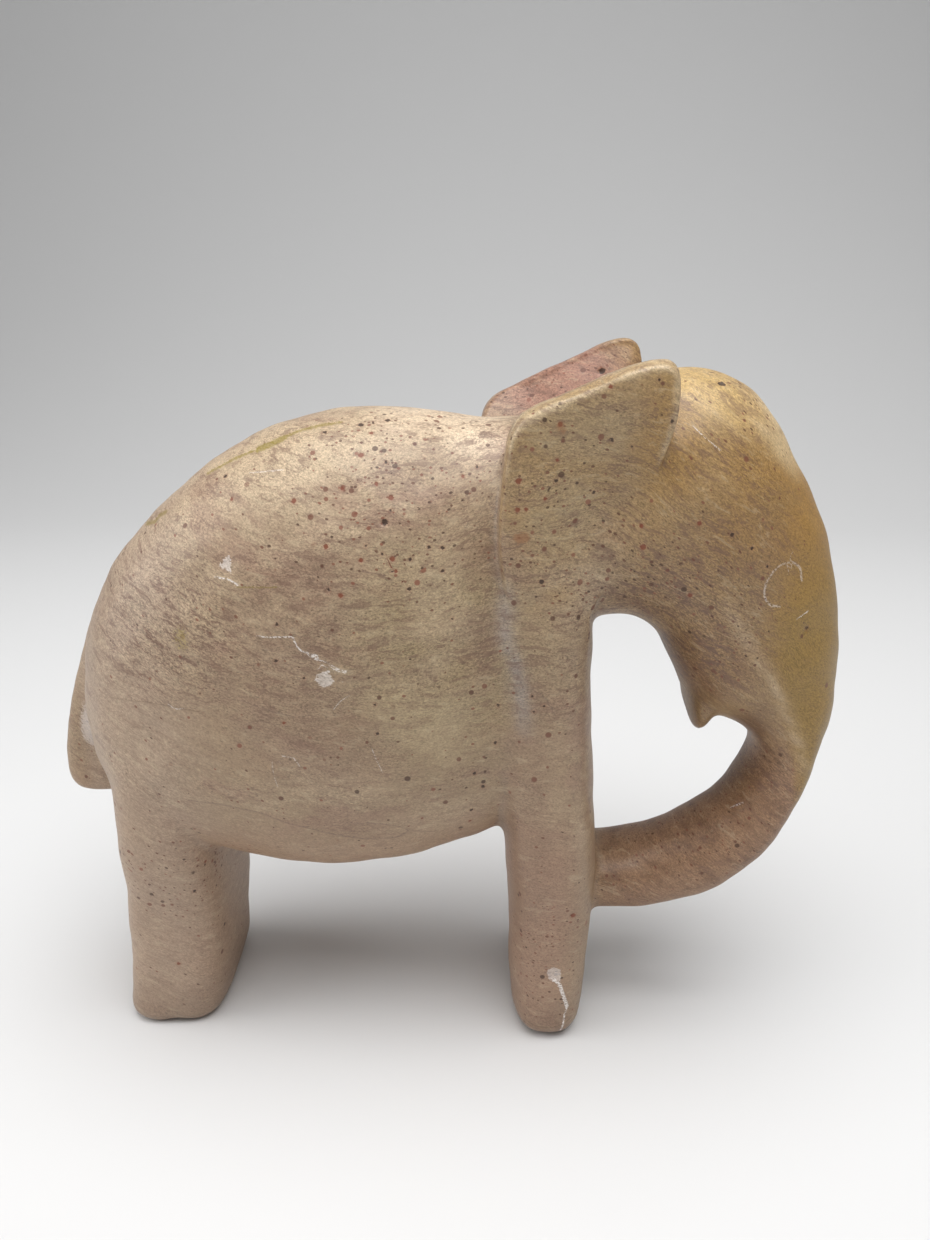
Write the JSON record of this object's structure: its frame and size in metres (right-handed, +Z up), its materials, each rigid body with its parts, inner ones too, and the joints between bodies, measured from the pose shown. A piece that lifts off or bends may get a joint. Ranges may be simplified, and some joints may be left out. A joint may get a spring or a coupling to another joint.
{
  "type": "elephant figurine",
  "caption": "Smooth carved stone elephant standing on broad leg blocks, with raised ears, a short flared tail, and a trunk curled back to the front legs round a heart-shaped gap.",
  "frame": {"origin": "on the ground under the middle of the carving", "axes": "+X towards the head, +Y towards the elephant's left, +Z up"},
  "size_m": [0.17, 0.06, 0.151],
  "materials": {
    "stone": "hand-filed and waxed to a soft satin, creamy buff with pink and ochre clouds, dark specks and fine bedding"
  },
  "bodies": {
    "root": {"elephant": "stone"}
  },
  "joints": []
}
